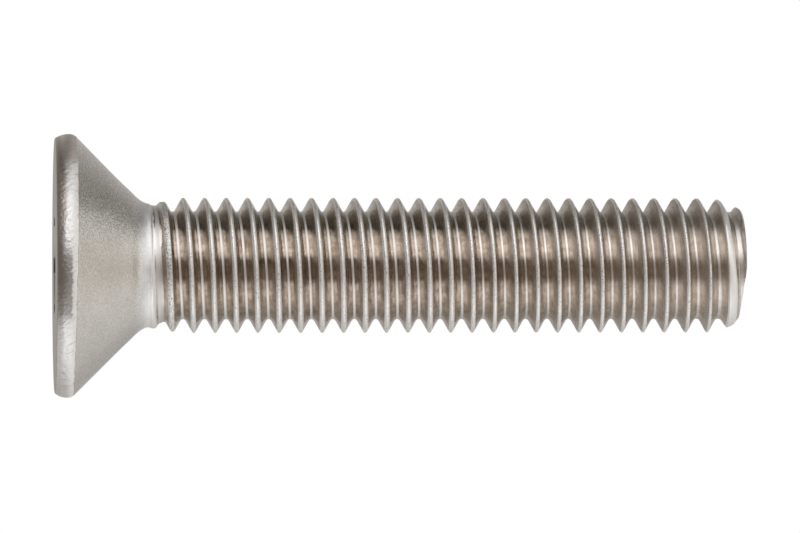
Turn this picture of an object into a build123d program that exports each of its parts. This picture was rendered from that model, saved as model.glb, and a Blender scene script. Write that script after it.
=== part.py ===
"""Countersunk socket screw, M8 x 1.25 x 40, one solid, in millimetres.

It stands on the flat face of its head. The origin is the centre of that face, and +Z runs along
the axis from the head to the tip. The shank is the envelope of the thread's crests: it rises from
the neck to the major diameter, and a taper crops the last turns at the tip.
"""

from math import asin, cos, radians, sin, tan
import os

from build123d import *

# Length over all: on a countersunk screw it is measured from the face of the head.
overall_length = 40.0

# Head: a cone over a short land, whose rim is rounded into the cone and down to the face.
head_diameter = 15.34
land_height = 0.985           # where the cone would reach the head's diameter
rim_height = 0.735            # where the rim is widest
lower_rim_radius = 1.1
cone_angle = 90.0
face_edge_radius = 0.15

# Hexagon socket: forged flats, the punch's conical floor, and a cone that leads the key in.
socket_flats = 5.0
socket_depth = 3.2
socket_floor_angle = 120.0
lead_in_width = 0.09          # beyond the hexagon's corners
lead_in_angle = 90.0

# Thread envelope, and the neck where the plain blank shows between the cone and the first crest.
major_diameter = 7.86
neck_drop = 0.38              # from the crests down to the blank
neck_fillet = 1.8
neck_length = 0.04
crest_rise_length = 1.3

# Tip: a slow taper, a chamfer, a flat land and a shallow dish.
taper_drop = 0.405
taper_length = 1.5
end_chamfer_drop = 0.475
end_chamfer_length = 0.45
end_land_width = 0.85
dish_depth = 0.2

half_cone = radians(cone_angle / 2)
head_radius = head_diameter / 2
major_radius = major_diameter / 2
neck_radius = major_radius - neck_drop
taper_end_radius = major_radius - taper_drop
end_radius = taper_end_radius - end_chamfer_drop
dish_radius = end_radius - end_land_width

# The rim's upper arc is tangent to the cone, and both arcs stand upright where it is widest.
rim_radius = (land_height - rim_height) * tan(half_cone) / (1 / cos(half_cone) - 1)
lower_rim_angle = asin(rim_height / lower_rim_radius)


def on_rim(radius, angle):
    """A point of an arc that reaches the head's radius at the rim's height, by its angle there."""
    return head_radius - radius * (1 - cos(angle)), rim_height + radius * sin(angle)


# Heights along the axis.
cone_foot = land_height + (head_radius - neck_radius) / tan(half_cone)
neck_end = cone_foot + neck_fillet * tan(half_cone / 2) + neck_length
full_crest = neck_end + crest_rise_length
taper_end = overall_length - end_chamfer_length
taper_start = taper_end - taper_length


def blank():
    """The turned outline: face, rounded rim, cone, neck, crest envelope, tapered tip and dish."""
    widest = (head_radius, rim_height)
    face_edge = on_rim(lower_rim_radius, -lower_rim_angle)
    with BuildPart() as body:
        with BuildSketch(Plane.XZ) as outline:
            with BuildLine():
                shank = Polyline(
                    (0, overall_length - dish_depth),
                    (dish_radius, overall_length),
                    (end_radius, overall_length),
                    (taper_end_radius, taper_end),
                    (major_radius, taper_start),
                    (major_radius, full_crest),
                    (neck_radius, neck_end),
                    (neck_radius, cone_foot),
                    on_rim(rim_radius, half_cone),
                )
                ThreePointArc(shank @ 1, on_rim(rim_radius, half_cone / 2), widest)
                ThreePointArc(widest, on_rim(lower_rim_radius, -lower_rim_angle / 2), face_edge)
                Polyline(face_edge, (0, 0), shank @ 0)
            make_face()
            for corner, radius in (
                ((neck_radius, cone_foot), neck_fillet),
                (face_edge, face_edge_radius),
            ):
                fillet(outline.vertices().sort_by_distance(corner)[0], radius)
        revolve(axis=Axis.Z)
    return body.part


def cone_from(radius, height, angle):
    """A right cone on the axis: its base of the given radius at this height, its point above."""
    point_height = height + radius / tan(radians(angle / 2))
    with BuildPart() as cone:
        with BuildSketch(Plane.XZ):
            with BuildLine():
                Polyline((0, height), (radius, height), (0, point_height), close=True)
            make_face()
        revolve(axis=Axis.Z)
    return cone.part


def socket():
    """The space that a hexagon key goes into, with its floor and its lead-in."""
    inner_radius = socket_flats / 2
    corner_radius = inner_radius / cos(radians(30))
    with BuildPart() as hexagon:
        with BuildSketch():
            RegularPolygon(corner_radius, 6, rotation=30)
        extrude(amount=socket_depth)
    floor = cone_from(inner_radius, socket_depth, socket_floor_angle)
    lead_in = cone_from(corner_radius + lead_in_width, 0, lead_in_angle)
    return hexagon.part + floor + lead_in


os.makedirs("parts", exist_ok=True)
export_step(blank() - socket(), "parts/screw.step")
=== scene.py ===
"""Looks for the countersunk socket screw: the threaded mesh, its steel, the floor, light, camera.

Lengths are in millimetres in the frame of the part (the face of the head at z = 0, +Z to the
tip) and become metres only where a mesh, the floor or the camera is made. The camera looks along
+Y and is rolled so that the tip is on the right of the picture and +X at its bottom.
"""

from math import cos, pi, radians, sin, tan

import bpy
import numpy as np
from mathutils import Matrix, Vector


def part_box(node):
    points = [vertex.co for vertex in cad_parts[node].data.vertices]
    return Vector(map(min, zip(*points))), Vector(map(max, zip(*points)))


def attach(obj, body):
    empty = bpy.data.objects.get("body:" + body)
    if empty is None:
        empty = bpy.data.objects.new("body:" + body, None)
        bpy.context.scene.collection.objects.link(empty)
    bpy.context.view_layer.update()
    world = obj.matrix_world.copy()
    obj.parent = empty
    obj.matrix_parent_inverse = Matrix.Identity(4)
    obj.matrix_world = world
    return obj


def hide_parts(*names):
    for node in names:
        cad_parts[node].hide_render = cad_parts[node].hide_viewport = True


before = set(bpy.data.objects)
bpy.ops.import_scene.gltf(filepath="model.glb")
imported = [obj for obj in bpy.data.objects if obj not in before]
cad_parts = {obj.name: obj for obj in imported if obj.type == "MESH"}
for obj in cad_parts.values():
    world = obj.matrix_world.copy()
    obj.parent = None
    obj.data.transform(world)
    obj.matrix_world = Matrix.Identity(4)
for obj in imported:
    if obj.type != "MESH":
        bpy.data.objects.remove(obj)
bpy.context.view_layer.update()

MM = 0.001                       # in Blender's metres

# The screw's length and head come from the frame, and most other sizes are as in the part's source.
_, screw_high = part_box("screw")
overall_length = round(screw_high.z / MM, 3)
head_radius = round(screw_high.x / MM, 3)
half_cone = radians(45)
land_height = 0.985              # where the cone would reach the head's radius
face_edge_radius = 0.15
socket_flats = 5.0
socket_depth = 3.2
half_floor = radians(60)         # the socket's conical floor ...
floor_inset = 0.02               # ... starts this far inside the flats
floor_step = 0.01                # and this much deeper than the walls end
lead_in_width = 0.09             # beyond the hexagon's corners
dish_radius = 2.2
dish_depth = 0.2

# The rim, trimmed a little off the cone's axis: its radius, and how far it is shifted.
rim_radius = 7.642
rim_shift_x = 0.028
rim_shift_y = 0.052
rim_lift = 0.0275                # of the cone near it: half of the difference from side to side
rim_rounding = 0.25              # from the corner of rim and cone to each end of its arc
lower_rim_drop = 0.2             # how far the rim draws in ...
lower_rim_foot = 0.09            # ... down to this height

# The neck narrows toward the thread.
neck_radius = 3.55
neck_height = 5.48               # where it has that radius
neck_taper = 0.33
neck_least_radius = 3.45
neck_rounding = 0.23
thread_foot = 5.3                # where the crests' envelope starts

# The thread: an M8 x 1.25 right-hand profile, rolled.
pitch = 1.25
crest_radius = 3.918
crest_rounding = 0.064
root_radius = 3.125
root_rounding = 0.13
sharp_crest_radius = 4.06        # where the two flanks would meet
flank_slope = tan(radians(60))
first_crest_z = 0.5527           # a crest's height at angle 0, one of those a pitch apart

# What changes along the screw: the value at each height, on straight lines between them.
CONE_SWELL = {1.5: 0.0, 3.8: 0.012, 4.4: 0.045}
CONE_LIFT = {1.3: 1.0, 3.2: 0.0}  # the cone's share of rim_lift
CREST_RISE = {5.3: 3.56, 5.65: 3.655, 6.3: 3.69, 6.5: 3.75, 6.8: 3.84, 7.4: crest_radius}
ROOT_RISE = {4.15: 3.0, 5.3: 0.8, 5.5: 0.4, 5.8: 0.34, 6.3: 0.165, 6.8: 0.0}
TIP_RADIUS = {
    36.0: 8.0, 38.15: 4.0, 38.65: 3.84, 39.2: 3.605,
    39.5: 3.48, 39.75: 3.395, 39.93: 3.23, 40.0: 3.13,
}
TIP_SHIFT = {
    36.0: 0.0, 38.15: 0.02, 38.65: 0.02, 39.2: -0.045,
    39.5: -0.04, 39.75: 0.015, 39.93: 0.07, 40.0: 0.07,
}

# How far the two flanks of a crest lie inside the sharp profile, or outside it where it is less
# than 0: the flank toward the head, and the one toward the tip.
HEAD_SIDE_CUT = {
    5.9: 0.11, 6.05: 0.22, 6.5: 0.14, 7.4: 0.07, 10.0: 0.07, 14.0: 0.0,
    36.0: 0.05, 37.2: 0.06, 37.7: 0.13, 38.2: 0.08, 38.9: 0.18, 39.4: 0.32,
}
TIP_SIDE_CUT = {
    5.9: -0.15, 6.15: -0.1, 6.38: 0.0, 10.0: 0.0, 14.0: 0.05,
    38.6: 0.05, 38.9: 0.13, 39.2: 0.1, 39.5: 0.0,
}

# How far the end dips where the last groove runs out of it, by the angle in degrees.
END_DIP = {0: 0.13, 30: 0.05, 60: 0.0, 272: 0.0, 284: 0.07, 300: 0.2, 330: 0.2, 360: 0.13}

# Grid of the mesh.
COLUMNS = 144                    # round the thread
HEAD_COLUMNS = 2 * COLUMNS
ROWS = 18                        # across one pitch
ROW_CLEARANCE = 0.3              # of a row, kept free between the helix and the rings at its ends
ROW_BUNCHING = 0.045             # of a pitch, by which rows draw together at root and crest
SPARE_TURNS = 3                  # so that the helix reaches past the tip
BOTTOM = 4.15                    # the ring where the helical grid ends on the cone
CONE_START = BOTTOM - 0.12       # the next ring down the cone
SHARP_FROM = radians(40)         # a steeper edge than this is shaded sharp


# ---------------------------------------------------------------- outline of the screw

def lookup(table, at):
    """A table's value, on straight lines between its entries and held beyond them."""
    return np.interp(at, list(table), list(table.values()))


def smooth_min(a, b, width):
    """The smaller of two values, with a rounded change-over."""
    share = np.maximum(width - np.abs(a - b), 0) / width
    return np.minimum(a, b) - share * share * width / 4


def smooth_max(a, b, width):
    """The larger of two values, with a rounded change-over."""
    return -smooth_min(-a, -b, width)


def cone_radius(z):
    """The cone swells a little toward the neck."""
    return head_radius + land_height - z + lookup(CONE_SWELL, z)


def blank_radius(z):
    """The cone, rounded into the tapered neck, and the crests' envelope up to the tip."""
    neck = np.maximum(neck_radius + neck_taper * (neck_height - z), neck_least_radius)
    blank = smooth_max(cone_radius(z), neck, neck_rounding)
    return np.where(z < thread_foot, blank, np.maximum(blank, lookup(CREST_RISE, z)))


def tip_radius(z, theta):
    """The pointed end: cropped a little off the screw's axis."""
    return lookup(TIP_RADIUS, z) - lookup(TIP_SHIFT, z) * np.cos(theta)


def end_height(theta):
    """The end of the screw: lower where the last groove runs out of it."""
    return overall_length - lookup(END_DIP, np.degrees(theta) % 360)


def surface_radius(z, theta):
    """The threaded surface of the screw above the cone."""
    turns = (z - first_crest_z) / pitch - theta / (2 * pi)
    from_crest = (turns - np.round(turns)) * pitch
    cut = np.where(from_crest < 0, lookup(HEAD_SIDE_CUT, z), lookup(TIP_SIDE_CUT, z))
    flank = sharp_crest_radius - cut - flank_slope * np.abs(from_crest)
    groove = smooth_max(flank, root_radius + lookup(ROOT_RISE, z), root_rounding)
    outline = np.minimum(blank_radius(z), tip_radius(z, theta))
    return smooth_min(groove, outline, crest_rounding)


# ---------------------------------------------------------------- mesh

def angles_round(columns):
    """Angles of the points of a ring, from +X toward +Y."""
    return np.arange(columns) * 2 * pi / columns


def shares(count):
    """Even shares of a stretch up to the whole of it, without the start."""
    return np.linspace(0, 1, count + 1)[1:]


class Grid:
    """Collects points and faces of one mesh."""

    def __init__(self):
        self.points = []
        self.faces = []

    def point(self, radius, angle, z):
        """Adds a point by its radius and angle."""
        self.points.append((radius * cos(angle), radius * sin(angle), z))

    def ring(self, radii, heights, columns):
        """Adds a closed ring of points and returns their numbers."""
        start = len(self.points)
        angles = angles_round(columns)
        radii, heights = radii + 0 * angles, heights + 0 * angles
        for radius, z, angle in zip(radii, heights, angles):
            self.point(radius, angle, z)
        return list(range(start, start + columns))

    def face(self, *numbers):
        """Adds a face and leaves out repeated points."""
        kept = [n for i, n in enumerate(numbers) if n != numbers[i - 1]]
        if len(set(kept)) > 2:
            self.faces.append(kept)

    def band(self, low, high):
        """Joins two rings; the upper one may have half as many points."""
        count, step = len(high), len(low) // len(high)
        for i in range(count):
            edge = [low[(i * step + k) % len(low)] for k in range(step + 1)]
            self.face(*edge, high[(i + 1) % count], high[i])

    def rings_down(self, above, rows):
        """Adds rings below a ring, each joined to the one before it, and returns the last."""
        for radii, heights in rows:
            ring = self.ring(radii, heights, HEAD_COLUMNS)
            self.band(ring, above)
            above = ring
        return above

    def rings_inward(self, outer, rows):
        """Adds rings inside a ring of the tip, each joined to the last, and returns the last."""
        for radii, heights in rows:
            ring = self.ring(radii, heights, COLUMNS)
            self.band(outer, ring)
            outer = ring
        return outer

    def fan(self, ring, height):
        """Closes a ring with triangles that meet in a point on the axis."""
        centre = len(self.points)
        self.points.append((0.0, 0.0, height))
        for i, n in enumerate(ring):
            self.face(n, ring[(i + 1) % len(ring)], centre)


def row_phases():
    """Rows across a pitch, from root to root: closer together at the root and on the crest."""
    even = np.linspace(0, 1, ROWS, endpoint=False)
    return even - ROW_BUNCHING * np.sin(4 * pi * even)


def thread_grid(grid):
    """The shank: rows follow the helix, held between the cone's ring and the tip's ring."""
    bottom = grid.ring(surface_radius(np.full(COLUMNS, BOTTOM), 0), BOTTOM, COLUMNS)
    angles = angles_round(COLUMNS)
    end = end_height(angles)
    top = grid.ring(surface_radius(end, angles), end, COLUMNS)

    first_root_z = first_crest_z + pitch / 2 + pitch
    turns = int((overall_length - first_root_z) / pitch) + SPARE_TURNS
    step = np.arange(turns * COLUMNS + 1)[:, None]
    column = step % COLUMNS
    z = first_root_z + pitch * (step / COLUMNS + row_phases()[None, :])
    theta = column * 2 * pi / COLUMNS + 0 * z
    radius = surface_radius(z, theta)

    clearance = ROW_CLEARANCE * pitch / ROWS
    low = z <= BOTTOM + clearance
    kept = ~low & (z < end_height(theta) - clearance)
    order = np.cumsum(kept.ravel()).reshape(z.shape) - 1 + len(grid.points)
    for at in zip(*np.nonzero(kept)):
        grid.point(radius[at], theta[at], z[at])
    ends = np.where(low, np.array(bottom)[column], np.array(top)[column])
    join_turns(grid, np.where(kept, order, ends), turns)
    return bottom, top


def join_turns(grid, number, turns):
    """Faces of the helical grid: each column's last row meets the first row of the next turn."""
    for i in range((turns - 1) * COLUMNS):
        here = [*number[i], number[i + COLUMNS, 0]]
        after = [*number[i + 1], number[i + 1 + COLUMNS, 0]]
        for j in range(ROWS):
            grid.face(here[j], after[j], after[j + 1], here[j + 1])


def cone_rows(foot, lift):
    """Rings down the cone to its foot; near the rim it is lifted more on one side."""
    rows = []
    for share in (0, *shares(21)):
        z = CONE_START + share * (foot - CONE_START)
        rows.append((cone_radius(z) + lift * lookup(CONE_LIFT, z), z))
    return rows


def rim_rows(rim, widest):
    """Rings round the rim: an arc from the cone, an arc down to the face, and a small edge."""
    rows = []
    radius = rim_rounding / tan(half_cone / 2)
    for share in shares(11):
        turn = half_cone * (1 - share)
        rows.append((rim - radius * (1 - cos(turn)), widest + radius * sin(turn)))

    drop = widest - lower_rim_foot
    radius = (drop**2 + lower_rim_drop**2) / (2 * lower_rim_drop)
    inner = radius - face_edge_radius
    full_turn = np.arcsin((widest - face_edge_radius) / inner)
    for share in shares(19):
        turn = share * full_turn
        rows.append((rim - radius * (1 - np.cos(turn)), widest - radius * np.sin(turn)))

    edge = rim - radius + inner * np.cos(full_turn)
    for share in shares(6):
        turn = full_turn + share * (pi / 2 - full_turn)
        z = face_edge_radius * (1 - np.sin(turn))
        rows.append((edge + face_edge_radius * np.cos(turn), z))
    return rows


def face_rows(face_radius, lead_in):
    """Rings across the flat face, to the socket's lead-in."""
    return [(face_radius + share * (lead_in - face_radius), 0.0) for share in shares(8)]


def socket_rows(lead_in, floor_point):
    """Rings down the socket: the foot of its lead-in, its six walls and its conical floor."""
    flats = socket_flats / 2
    from_flat = (angles_round(HEAD_COLUMNS) + pi / 6) % (pi / 3) - pi / 6
    walls = flats / np.cos(from_flat)
    foot = lead_in - walls
    rows = [(walls, foot + share * (socket_depth - foot)) for share in (0, *shares(9))]
    rows.append((flats - floor_inset, socket_depth + floor_step))
    for share in (0.3, 0.6, 0.85, 0.95):
        rows.append((flats * (1 - share), socket_depth + share * (floor_point - socket_depth)))
    return rows


def head_grid(grid, bottom):
    """The cone, the rim, the face and the hexagon socket, as rings from the cone's ring down.

    The rim was trimmed a little off the cone's axis, so the corner between them is lower on
    one side than on the other.
    """
    angles = angles_round(HEAD_COLUMNS)
    rim = rim_radius + rim_shift_x * np.cos(angles) + rim_shift_y * np.sin(angles)
    rim = np.minimum(rim, head_radius)
    lift = rim_lift * (1 - np.cos(angles))
    corner = head_radius + land_height + lift - rim
    outside = cone_rows(corner + rim_rounding * cos(half_cone), lift)
    outside += rim_rows(rim, corner - rim_rounding)
    lead_in = socket_flats / 2 / cos(radians(30)) + lead_in_width
    floor_point = socket_depth + socket_flats / 2 / tan(half_floor)
    face_radius, _ = outside[-1]
    inside = face_rows(face_radius, lead_in) + socket_rows(lead_in, floor_point)
    last = grid.rings_down(bottom, outside + inside)
    grid.fan(list(reversed(last)), floor_point)


def tip_grid(grid, top):
    """The end: a flat land and a shallow dish."""
    angles = angles_round(COLUMNS)
    end = end_height(angles)
    edge = surface_radius(end, angles)
    rows = []
    for share in (0.3, 0.6, 0.8, 1.0):
        height = end + share * (overall_length - end)
        rows.append((edge + share * (dish_radius - edge), height))
    for share in (0.2, 0.5, 0.8):
        rows.append((dish_radius * (1 - share), overall_length - share * dish_depth))
    grid.fan(grid.rings_inward(top, rows), overall_length - dish_depth)


def make_screw():
    """The whole screw as one closed mesh."""
    grid = Grid()
    bottom, top = thread_grid(grid)
    head_grid(grid, bottom)
    tip_grid(grid, top)
    mesh = bpy.data.meshes.new("threaded_screw")
    mesh.from_pydata([(x * MM, y * MM, z * MM) for x, y, z in grid.points], [], grid.faces)
    mesh.validate()
    mesh.update()
    mesh.shade_smooth()
    mesh.set_sharp_from_angle(angle=SHARP_FROM)
    screw = bpy.data.objects.new("threaded_screw", mesh)
    bpy.context.scene.collection.objects.link(screw)
    return screw


# ---------------------------------------------------------------- node helpers

class Nodes:
    """Short calls to build a node tree."""

    def __init__(self, tree):
        self.tree = tree
        tree.nodes.clear()

    def add(self, kind, inputs=None, **settings):
        """Adds a node, with its settings and what goes into its sockets."""
        node = self.tree.nodes.new(kind)
        for name, value in settings.items():
            setattr(node, name, value)
        for name, value in (inputs or {}).items():
            self.feed(node.inputs[name], value)
        return node

    def feed(self, socket, value):
        """Links an output to a socket, or sets the socket to a value or an opaque colour."""
        if isinstance(value, bpy.types.NodeSocket):
            self.tree.links.new(value, socket)
        elif value is not None:
            socket.default_value = (*value, 1.0) if socket.type == "RGBA" else value

    def math(self, operation, a, b=None):
        """One number from one or two."""
        return self.add("ShaderNodeMath", {0: a, 1: b}, operation=operation).outputs[0]

    def plus(self, a, b):
        return self.math("ADD", a, b)

    def minus(self, a, b):
        return self.math("SUBTRACT", a, b)

    def times(self, a, b):
        return self.math("MULTIPLY", a, b)

    def over(self, a, b):
        return self.math("DIVIDE", a, b)

    def most(self, a, b):
        return self.math("MAXIMUM", a, b)

    def least(self, a, b):
        return self.math("MINIMUM", a, b)

    def vector(self, operation, inputs):
        """One vector from others."""
        return self.add("ShaderNodeVectorMath", inputs, operation=operation).outputs[0]

    def step(self, value, zero_at, one_at):
        """0 up to zero_at, 1 from one_at on and smooth between; either may be the higher."""
        node = self.add("ShaderNodeMapRange", {0: value, 1: zero_at, 2: one_at, 3: 0.0, 4: 1.0},
                        interpolation_type="SMOOTHSTEP")
        return node.outputs[0]

    def line(self, value, table):
        """A straight line through a table's two entries, held beyond them."""
        (low, start), (high, end) = table.items()
        node = self.add("ShaderNodeMapRange", {0: value, 1: low, 2: high, 3: start, 4: end})
        return node.outputs[0]

    def mix(self, factor, a, b):
        """A colour between two."""
        node = self.add("ShaderNodeMix", {0: factor}, data_type="RGBA")
        self.feed(node.inputs[6], a)
        self.feed(node.inputs[7], b)
        return node.outputs[2]

    def blend(self, factor, a, b):
        """A number between two."""
        node = self.add("ShaderNodeMix", {0: factor, 2: a, 3: b}, data_type="FLOAT")
        return node.outputs[0]

    def noise(self, vector, scale, detail, roughness):
        """A noise from 0 to 1, around one half."""
        inputs = {"Vector": vector, "Scale": scale, "Detail": detail, "Roughness": roughness}
        return self.add("ShaderNodeTexNoise", inputs).outputs["Fac"]

    def ramp(self, factor, stops):
        """Colours in a row, on straight lines between (position, colour) stops."""
        node = self.add("ShaderNodeValToRGB", {"Fac": factor})
        elements = node.color_ramp.elements
        node.color_ramp.interpolation = "LINEAR"
        for i, (position, color) in enumerate(stops):
            element = elements[i] if i < 2 else elements.new(position)
            element.position = position
            element.color = (*color, 1.0)
        return node.outputs["Color"]


# ---------------------------------------------------------------- steel

# Colours of each finish: the tumbled cone and neck, the forged rim, the plain face and socket, and
# the rolled flanks, roots and crests. Among them are painted light and shade: the near-white neck,
# roots and crests are painted highlights; the dark socket, the cone's dull band, the rim's warm,
# grey and brown tones and the flanks' outer brown are painted shade; the flanks' paler tone toward
# the tip is painted light.
TUMBLED = (0.57, 0.535, 0.476)
TUMBLED_PALE = (0.635, 0.598, 0.537)
# painted shade, for the band along the cone's -X side
TUMBLED_PAINTED_SHADE = (0.4, 0.38, 0.335)
TUMBLED_GRAIN = (0.8, 0.765, 0.705)
# painted highlight: the neck's near-white colour and its paler grain
NECK_PAINTED_HIGHLIGHT = (0.92, 0.905, 0.875)
NECK_PAINTED_HIGHLIGHT_GRAIN = (1.0, 0.99, 0.965)
FORGED = (0.84, 0.825, 0.79)
FORGED_PALE = (1.0, 0.98, 0.94)
# painted shade: the warm, darker tone on the rim's -X side
FORGED_PAINTED_WARM_SHADE = (0.74, 0.675, 0.61)
# painted shade: grey, low on the rim from x -0.2 to 2.7 mm
RIM_PAINTED_SHADE = (0.53, 0.51, 0.48)
# painted shade: browner under the rim, toward the face
RIM_PAINTED_UNDERSHADE = (0.5, 0.44, 0.38)
SPECK = (0.42, 0.38, 0.34)
FACE = (0.56, 0.53, 0.49)
FACE_PALE = (0.7, 0.665, 0.62)
# painted shade: the socket's walls and floor, and dark slits at the lead-in's corners
SOCKET_PAINTED_SHADE = (0.16, 0.15, 0.14)
FLANK = (0.65, 0.585, 0.515)
FLANK_MOTTLE = (0.48, 0.415, 0.355)
# painted shade: browner flanks far from the roots, toward the tip
FLANK_PAINTED_SHADE = (0.5, 0.44, 0.385)
FLANK_LINE = (0.34, 0.29, 0.24)
# painted light: paler flanks toward the tip
FLANK_PAINTED_LIGHT = (0.84, 0.78, 0.72)
# painted highlight: the pale line along each root
ROOT_PAINTED_HIGHLIGHT = (0.86, 0.83, 0.79)
# painted highlight: the near-white crests, on their rough, pitted finish
CREST_PAINTED_HIGHLIGHT = (1.0, 0.975, 0.93)
CREST_PIT = (0.36, 0.33, 0.3)

# Roughness of the finishes where it is even.
ROUGHNESS = {"cone": 0.15, "neck": 0.52, "plain": 0.4, "root": 0.47, "crest": 0.42}

# Noises: scale to the millimetre, detail and roughness.
CLOUD = (0.7, 3.0, 0.6)
WANDER = (1.3, 3.0, 0.6)
PATCH = (1.6, 2.0, 0.5)
SEAM = (1.7, 1.0, 0.5)
MOTTLE = (2.6, 3.0, 0.65)
FOLD = (5.0, 3.0, 0.65)
GRAIN = (10.0, 3.0, 0.7)
PITS = (13.0, 2.0, 0.55)
LINE = (1.0, 3.0, 0.65)

# How the noises of the die lines and of the folds are stretched, and the folds' slant.
LINES_ROUND = 3.5
LINES_OUTWARD = 7.0
LINES_ALONG = 1.7
FOLD_STRETCH = (1.0, 1.0, 0.22)
FOLD_TWIST = 0.08                # radians to the millimetre

# Depth of the fine relief of each kind, in millimetres.
RELIEF = {
    "grain": 0.025, "lines": 0.008, "folds": 0.022,
    "lumps": 0.045, "plain": 0.02, "pits": 0.03,
}

# Where each finish starts: the height or the radius at which it isn't there yet, and the one from
# which it is there in full.
THREAD_FROM = (5.5, 5.6)
NECK_FROM = (4.45, 5.45)
NECK_UNDER = (5.6, 5.5)
RIM_UNDER = (1.28, 1.24)
FACE_UNDER = (0.06, 0.02)
SOCKET_INSIDE = (3.06, 3.02)
SOCKET_UNDER = (5.0, 4.8)
CREST_OVER_EDGE = (-0.015, 0.015)
ROOT_INSIDE = (3.155, 3.13)

# The width over which the edge of each finish wanders.
NECK_WANDER = 0.8
RIM_WANDER = 0.1
CREST_WANDER = 0.1

# The crests' inner edge, where their painted highlight ends: low at the neck, cropped at the tip,
# and lower on the +X side.
CREST_EDGE_AT_NECK = {5.6: 3.48, 7.2: 3.84}
CREST_EDGE_BETWEEN = {23.0: 3.79, 25.4: 3.892}
CREST_EDGE_AT_TIP = {38.2: 3.9, 39.5: 3.36}
CREST_EDGE_BY_X = {0.0: 0.0, 3.0: -0.02}

# How much further out than ROOT_INSIDE the roots and their painted highlight reach, at the neck and
# along the thread.
ROOT_RISE_AT_NECK = {5.8: 0.33, 6.7: -0.01}
ROOT_RISE_ALONG = {20.0: 0.006, 28.0: -0.009}


class Steel(Nodes):
    """The steel's node tree, with the places, textures and masks that its finishes share."""

    def __init__(self, tree):
        super().__init__(tree)
        place = self.add("ShaderNodeTexCoord").outputs["Object"]
        self.mm = self.vector("SCALE", {0: place, "Scale": 1 / MM})
        self.x, self.y, self.z = self.add("ShaderNodeSeparateXYZ", {0: self.mm}).outputs
        squares = self.plus(self.times(self.x, self.x), self.times(self.y, self.y))
        self.radius = self.math("SQRT", squares)
        self.angle = self.math("ARCTAN2", self.y, self.x)
        self.cloud = self.noise(self.mm, *CLOUD)
        self.mottle = self.noise(self.mm, *MOTTLE)
        self.grain = self.noise(self.mm, *GRAIN)
        self.pits = self.noise(self.mm, *PITS)
        self.wander = self.minus(self.noise(self.mm, *WANDER), 0.5)
        self.lines = self.die_lines()
        self.mask_head()
        self.mask_thread()
        self.forge_rim()

    def die_lines(self):
        """Fine lines that the dies left round the flanks."""
        outward = self.add("ShaderNodeCombineXYZ", {0: self.over(self.x, self.radius),
                                                    1: self.over(self.y, self.radius)})
        round_it = self.vector("SCALE", {0: outward.outputs[0], "Scale": LINES_ROUND})
        level = self.plus(self.times(self.radius, LINES_OUTWARD), self.times(self.z, LINES_ALONG))
        rise = self.add("ShaderNodeCombineXYZ", {2: level}).outputs[0]
        return self.noise(self.vector("ADD", {0: round_it, 1: rise}), *LINE)

    def mask_head(self):
        """Where the neck, the rim, the socket, and the plain face with the socket, are."""
        neck_edge = self.plus(self.z, self.times(self.wander, NECK_WANDER))
        self.neck = self.times(self.step(neck_edge, *NECK_FROM), self.step(self.z, *NECK_UNDER))
        rim_edge = self.plus(self.z, self.times(self.wander, RIM_WANDER))
        rim_edge = self.plus(rim_edge, self.line(self.x, {-2.0: 0.0, 6.0: 0.2}))
        self.rim = self.step(rim_edge, *RIM_UNDER)
        inside = self.step(self.radius, *SOCKET_INSIDE)
        self.socket = self.times(inside, self.step(self.z, *SOCKET_UNDER))
        self.plain = self.most(self.socket, self.step(self.z, *FACE_UNDER))

    def mask_thread(self):
        """Where the thread, its crests and its roots are."""
        self.thread = self.step(self.z, *THREAD_FROM)
        between = self.plus(self.line(self.z, CREST_EDGE_BETWEEN),
                            self.line(self.x, CREST_EDGE_BY_X))
        edge = self.least(self.line(self.z, CREST_EDGE_AT_NECK), between)
        edge = self.least(edge, self.line(self.z, CREST_EDGE_AT_TIP))
        outward = self.plus(self.radius, self.times(self.wander, CREST_WANDER))
        over_edge = self.step(self.minus(outward, edge), *CREST_OVER_EDGE)
        self.crest = self.times(over_edge, self.thread)
        depth = self.minus(self.radius, self.line(self.z, ROOT_RISE_ALONG))
        depth = self.minus(depth, self.line(self.z, ROOT_RISE_AT_NECK))
        self.root = self.times(self.step(depth, *ROOT_INSIDE), self.thread)

    def forge_rim(self):
        """The rim's forged skin: slanting folds, dark specks and a few seams across it."""
        twist = self.add("ShaderNodeVectorRotate",
                         {"Vector": self.mm, "Angle": self.times(self.z, FOLD_TWIST)},
                         rotation_type="Z_AXIS").outputs[0]
        across = self.vector("MULTIPLY", {0: twist, 1: FOLD_STRETCH})
        self.folds = self.noise(across, *FOLD)
        patch = self.noise(self.mm, *PATCH)
        specks = self.times(self.step(self.folds, 0.44, 0.32), self.step(patch, 0.3, 0.65))
        from_seam = self.math("ABSOLUTE", self.minus(self.noise(across, *SEAM), 0.5))
        seams = self.times(self.step(from_seam, 0.012, 0.003), self.step(self.mottle, 0.42, 0.55))
        self.specks = self.most(specks, seams)


def cone_color(n):
    """Clouds of two tones with pale grain, and a band of painted shade along the -X side."""
    color = n.mix(n.step(n.cloud, 0.3, 0.7), TUMBLED, TUMBLED_PALE)
    # painted shade: darker along the -X side, low on the cone, with fewer pale grains in it
    band = n.times(n.step(n.x, -2.8, -3.35), n.line(n.x, {-5.6: 0.3, -3.8: 1.0}))
    band = n.times(band, n.step(n.z, 4.0, 2.8))
    color = n.mix(n.times(band, 0.7), color, TUMBLED_PAINTED_SHADE)
    grains = n.times(n.step(n.grain, 0.38, 0.62), n.line(n.x, {-3.0: 1.0, -1.0: 0.65}))
    grains = n.times(grains, n.minus(1.0, n.times(band, 0.3)))
    return n.mix(grains, color, TUMBLED_GRAIN)


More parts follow.
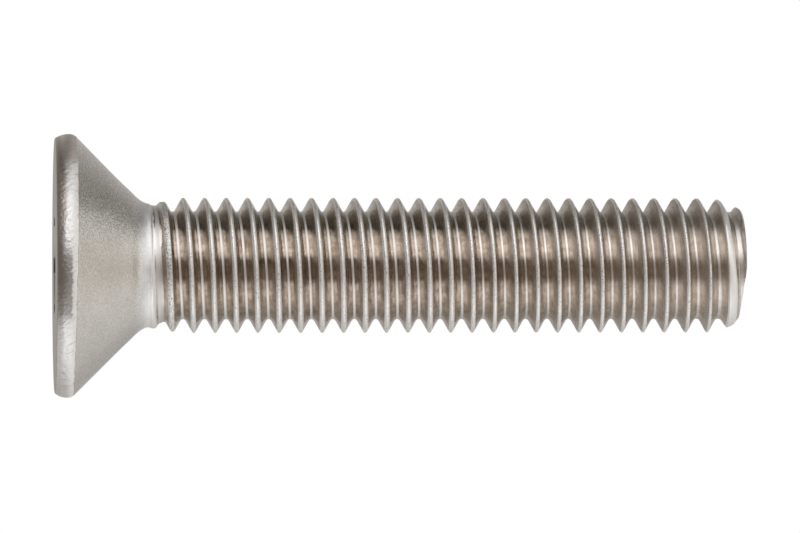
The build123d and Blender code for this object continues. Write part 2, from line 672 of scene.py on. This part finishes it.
def rim_color(n):
    """Pale scale, specked, with painted shade: warm on the -X side, grey low down in places,
    browner under.
    """
    color = n.mix(n.step(n.z, 0.55, 0.9), FORGED, FORGED_PALE)
    # painted shade: a warm, darker tone on the -X side
    color = n.mix(n.step(n.x, -5.5, -6.3), color, FORGED_PAINTED_WARM_SHADE)
    # painted shade: grey, low on the rim from x -0.2 to 2.7, with a ragged edge from the folds
    shade_edge = n.plus(n.z, n.times(n.minus(n.folds, 0.5), 0.5))
    rim_painted_shade = n.times(n.step(shade_edge, 0.94, 0.82), n.step(n.x, -1.2, -0.2))
    rim_painted_shade = n.times(rim_painted_shade, n.step(n.x, 3.3, 2.7))
    color = n.mix(rim_painted_shade, color, RIM_PAINTED_SHADE)
    # painted shade: browner under the rim, reaching higher on the -X side and fading toward +X
    lift = n.least(n.line(n.x, {-6.4: 0.0, -5.0: 0.24}), n.line(n.x, {-2.8: 0.24, -1.3: 0.0}))
    under_shade = n.step(n.minus(n.z, lift), 0.45, 0.2)
    under_shade = n.times(under_shade, n.line(n.x, {2.2: 1.0, 3.6: 0.25}))
    color = n.mix(under_shade, color, RIM_PAINTED_UNDERSHADE)
    return n.mix(n.times(n.specks, 0.5), color, SPECK)


def flank_color(n):
    """Mottled brown, dark die lines; toward the tip painted shade far from the roots, and painted
    light.
    """
    color = n.mix(n.step(n.mottle, 0.38, 0.66), FLANK, FLANK_MOTTLE)
    # painted shade: browner far from the roots toward the tip
    shaded_far_out = n.times(n.step(n.radius, 3.28, 3.5), n.line(n.z, {20.0: 0.0, 32.0: 0.3}))
    color = n.mix(shaded_far_out, color, FLANK_PAINTED_SHADE)
    color = n.mix(n.step(n.lines, 0.5, 0.7), color, FLANK_LINE)
    # painted light: paler toward the tip
    return n.mix(n.line(n.z, {25.0: 0.0, 39.0: 0.3}), color, FLANK_PAINTED_LIGHT)


def crest_color(n):
    """A painted highlight, near white, with dark pits: more of them where the crests begin, none at
    the very ends.
    """
    pitted = n.plus(n.pits, n.line(n.z, {6.3: 0.07, 7.2: 0.0}))
    clean = n.plus(n.line(n.z, {38.2: 0.0, 38.6: 0.3}), n.line(n.z, {5.7: 0.3, 6.1: 0.0}))
    pitted = n.minus(pitted, clean)
    # painted highlight on the crests, with real pits in it
    return n.mix(n.step(pitted, 0.58, 0.68), CREST_PAINTED_HIGHLIGHT, CREST_PIT)


def steel_color(n):
    """The finishes' colours, each laid over the ones before it.

    In the socket the walls, the floor and the lead-in at its six corners are painted shade.
    """
    color = n.mix(n.thread, cone_color(n), flank_color(n))
    # painted highlight: the neck's near-white colour
    color = n.mix(n.neck, color, n.mix(n.step(n.grain, 0.35, 0.6), NECK_PAINTED_HIGHLIGHT, NECK_PAINTED_HIGHLIGHT_GRAIN))
    color = n.mix(n.rim, color, rim_color(n))
    color = n.mix(n.plain, color, n.mix(n.mottle, FACE, FACE_PALE))
    # painted shade in the socket's walls and floor, and dark slits at its six corners
    six_fold = n.math("COSINE", n.times(n.angle, 6.0))
    dark = n.most(n.step(six_fold, -0.45, -0.75), n.step(n.z, 0.3, 0.5))
    color = n.mix(n.times(n.socket, dark), color, SOCKET_PAINTED_SHADE)
    # painted highlight along the roots
    color = n.mix(n.root, color, ROOT_PAINTED_HIGHLIGHT)
    return n.mix(n.crest, color, crest_color(n))


def flank_roughness(n):
    """Smoothest near the roots, and rougher toward the tip and on the flanks that face the head."""
    turns = n.minus(n.over(n.minus(n.z, first_crest_z), pitch), n.over(n.angle, 2 * pi))
    head_side = n.step(n.math("FRACT", turns), 0.45, 0.55)
    worn = n.times(n.step(n.radius, 3.35, 3.75), n.blend(head_side, 0.12, 0.17))
    dulled = n.times(head_side, n.line(n.z, {22.0: 0.06, 34.0: 0.2}))
    return n.plus(n.line(n.z, {24.0: 0.08, 36.0: 0.16}), n.plus(worn, dulled))


def steel_roughness(n):
    """The finishes' roughness, laid over each other as their colours are."""
    rough = n.blend(n.thread, ROUGHNESS["cone"], flank_roughness(n))
    rough = n.blend(n.neck, rough, ROUGHNESS["neck"])
    rough = n.blend(n.rim, rough, n.line(n.z, {0.45: 0.32, 1.0: 0.7}))
    rough = n.blend(n.plain, rough, ROUGHNESS["plain"])
    rough = n.blend(n.root, rough, ROUGHNESS["root"])
    return n.blend(n.crest, rough, ROUGHNESS["crest"])


def steel_relief(n):
    """The height of grain, lines, folds and pits, in millimetres."""
    rolled = n.times(n.lines, RELIEF["lines"])
    forged = n.plus(n.times(n.folds, RELIEF["folds"]), n.times(n.mottle, RELIEF["lumps"]))
    relief = n.blend(n.thread, n.times(n.grain, RELIEF["grain"]), rolled)
    relief = n.blend(n.rim, relief, forged)
    relief = n.blend(n.plain, relief, n.times(n.mottle, RELIEF["plain"]))
    return n.minus(relief, n.times(n.times(n.pits, n.crest), RELIEF["pits"]))


def steel_material():
    """Stainless steel: a tumbled cone, a scaly forged rim and a rolled thread."""
    material = bpy.data.materials.new("rolled_stainless_steel")
    material.use_nodes = True
    n = Steel(material.node_tree)
    bump = n.add("ShaderNodeBump", {"Height": steel_relief(n), "Distance": MM, "Strength": 1.0})
    shader = n.add("ShaderNodeBsdfPrincipled", {
        "Base Color": steel_color(n),
        "Metallic": 1.0,
        "Roughness": steel_roughness(n),
        "Normal": bump.outputs[0],
    })
    n.add("ShaderNodeOutputMaterial", {"Surface": shader.outputs[0]})
    return material


# ---------------------------------------------------------------- floor

FLOOR_HALF = 600.0               # from its middle to each side
FLOOR_DROP = 0.02                # below the face that stands on it
PAPER = (0.86, 0.86, 0.86)
PAPER_PALE = (0.9, 0.9, 0.9)
PAPER_NOISE = (400.0, 3.0, 0.5)  # scale to the metre, detail and roughness
PAPER_ROUGHNESS = 0.9


def floor_material():
    """Pale and matt; it isn't there for a view from below and for what the steel reflects."""
    material = bpy.data.materials.new("pale_floor")
    material.use_nodes = True
    n = Nodes(material.node_tree)
    place = n.add("ShaderNodeTexCoord").outputs["Object"]
    color = n.mix(n.noise(place, *PAPER_NOISE), PAPER, PAPER_PALE)
    paper = n.add("ShaderNodeBsdfPrincipled", {"Base Color": color, "Roughness": PAPER_ROUGHNESS})
    path = n.add("ShaderNodeLightPath").outputs
    below = n.add("ShaderNodeNewGeometry").outputs["Backfacing"]
    hidden = n.most(below, path["Is Glossy Ray"])
    clear = n.add("ShaderNodeBsdfTransparent")
    shader = n.add("ShaderNodeMixShader", {0: hidden, 1: paper.outputs[0], 2: clear.outputs[0]})
    n.add("ShaderNodeOutputMaterial", {"Surface": shader.outputs[0]})
    return material


def make_floor():
    """A square sheet just under the head's face."""
    half = FLOOR_HALF * MM
    corners = [(-half, -half, 0), (half, -half, 0), (half, half, 0), (-half, half, 0)]
    mesh = bpy.data.meshes.new("floor")
    mesh.from_pydata(corners, [], [(0, 1, 2, 3)])
    mesh.materials.append(floor_material())
    floor = bpy.data.objects.new("floor", mesh)
    floor.location.z = -FLOOR_DROP * MM
    bpy.context.scene.collection.objects.link(floor)


# ---------------------------------------------------------------- light

# What lights the studio.
PANEL = (1.44, 1.45, 1.5)        # soft light panel
FILL = (1.0, 1.0, 1.02)          # pale card on the lower side
TABLE = (0.5, 0.49, 0.48)        # behind the screw
SHADE = (0.1, 0.101, 0.096)      # dark gap over the top panel
CAMERA_SIDE = (0.27, 0.232, 0.208)  # the unlit room behind the camera
BEYOND_TIP = (0.66, 0.62, 0.57)  # along the axis
WHITE = (1.0, 1.0, 1.0)

# Rings of directions round the screw's axis: the angle in degrees from the camera's side, positive
# over the top of the picture, the light that comes from there, and its level.
LEVEL_RING = (                   # square to the axis
    (-180, TABLE, 1.0), (-130, TABLE, 1.0), (-98, FILL, 0.75), (-80, FILL, 1.18),
    (-45, FILL, 1.28), (-38, FILL, 0.75), (-31, CAMERA_SIDE, 1.3), (-5, CAMERA_SIDE, 1.0),
    (12, CAMERA_SIDE, 1.0), (21, PANEL, 0.95), (30, PANEL, 1.23), (44, PANEL, 1.2),
    (68, PANEL, 0.9), (80, PANEL, 0.48), (88, SHADE, 1.0), (106, SHADE, 1.4),
    (130, SHADE, 2.2), (150, TABLE, 0.92), (172, TABLE, 1.15), (180, TABLE, 1.2),
)
UPPER_RING = (                   # slanting, from the tip's side
    (-180, TABLE, 1.0), (-150, FILL, 0.58), (-119, FILL, 0.84), (-100, FILL, 0.62),
    (-45, FILL, 0.55), (-30, CAMERA_SIDE, 1.2), (-5, CAMERA_SIDE, 1.0), (9, CAMERA_SIDE, 1.0),
    (22, PANEL, 0.6), (40, PANEL, 0.77), (62, PANEL, 0.67), (79, PANEL, 0.27),
    (88, SHADE, 1.0), (106, SHADE, 1.6), (130, SHADE, 1.8), (148, TABLE, 1.0), (180, TABLE, 1.1),
)
HIGH_RING = (                    # high over the tip: bright on the camera's side
    (-180, TABLE, 1.0), (-135, FILL, 0.82), (-110, FILL, 0.88), (-80, FILL, 1.0),
    (-20, PANEL, 0.8), (20, PANEL, 0.85), (60, PANEL, 0.85), (80, PANEL, 0.78),
    (118, PANEL, 0.88), (125, SHADE, 1.6), (140, SHADE, 1.8), (180, TABLE, 1.0),
)
LOWER_RING = (                   # slanting, from the head's side
    (-180, TABLE, 1.0), (-150, FILL, 0.6), (-110, FILL, 0.66), (-70, FILL, 0.64),
    (-48, FILL, 0.34), (-20, CAMERA_SIDE, 0.8), (10, CAMERA_SIDE, 0.8), (28, PANEL, 0.18),
    (60, PANEL, 0.22), (80, CAMERA_SIDE, 0.8), (106, CAMERA_SIDE, 1.0), (150, TABLE, 0.82),
    (180, TABLE, 1.1),
)

# Where one ring gives way to the next: z of the direction, 1 toward the tip and -1 toward the head.
TO_UPPER = (0.45, 0.65)
TO_HIGH = (0.865, 0.89)
TO_BEYOND = (0.95, 0.99)
TO_LOWER = (-0.33, -0.52)


def ring_color(n, turn, ring):
    """A ring's light by the turn round the axis, which is 0.5 on the camera's side."""
    stops = []
    for angle, light, level in ring:
        stops.append((0.5 + angle / 360, tuple(channel * level for channel in light)))
    return n.ramp(turn, stops)


def studio_world():
    """A white studio for the camera and matt things; steel sees its light panels and dark gaps."""
    world = bpy.data.worlds.new("studio")
    bpy.context.scene.world = world
    world.use_nodes = True
    n = Nodes(world.node_tree)
    direction = n.add("ShaderNodeTexCoord").outputs["Generated"]
    x, y, z = n.add("ShaderNodeSeparateXYZ", {0: direction}).outputs
    around = n.math("ARCTAN2", n.times(x, -1.0), n.times(y, -1.0))
    turn = n.plus(n.over(around, 2 * pi), 0.5)
    color = ring_color(n, turn, LEVEL_RING)
    color = n.mix(n.step(z, *TO_UPPER), color, ring_color(n, turn, UPPER_RING))
    color = n.mix(n.step(z, *TO_HIGH), color, ring_color(n, turn, HIGH_RING))
    color = n.mix(n.step(z, *TO_BEYOND), color, BEYOND_TIP)
    color = n.mix(n.step(z, *TO_LOWER), color, ring_color(n, turn, LOWER_RING))
    path = n.add("ShaderNodeLightPath").outputs
    plain = n.most(path["Is Camera Ray"], path["Is Diffuse Ray"])
    color = n.mix(plain, color, WHITE)
    background = n.add("ShaderNodeBackground", {"Color": color, "Strength": 1.0})
    n.add("ShaderNodeOutputWorld", {"Surface": background.outputs[0]})


# ---------------------------------------------------------------- camera

AIM = Vector((0.0639, 0.0, 20.08))  # near the middle of the screw
DISTANCE = 335.0
LEAN = radians(4.492)            # toward the tip, so that the head's face just shows
LENS = 258.99
SENSOR_WIDTH = 36.0
NEAREST = 10.0                   # of what the camera sees
FARTHEST = 10000.0


def make_camera():
    """Looks across the screw from a little beyond its head, rolled so that the tip is right."""
    forward = Vector((0, cos(LEAN), sin(LEAN)))
    right = Vector((0, -sin(LEAN), cos(LEAN)))
    up = Vector((-1, 0, 0))
    data = bpy.data.cameras.new("camera")
    data.sensor_width = SENSOR_WIDTH
    data.lens = LENS
    data.clip_start = NEAREST * MM
    data.clip_end = FARTHEST * MM
    camera = bpy.data.objects.new("camera", data)
    turn = Matrix((right, up, -forward)).transposed().to_4x4()
    camera.matrix_world = Matrix.Translation((AIM - DISTANCE * forward) * MM) @ turn
    bpy.context.scene.collection.objects.link(camera)
    bpy.context.scene.camera = camera


bpy.context.scene.view_settings.view_transform = "Standard"
make_camera()
studio_world()
make_floor()
screw = make_screw()
screw.data.materials.append(steel_material())
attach(screw, "root")
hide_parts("screw")
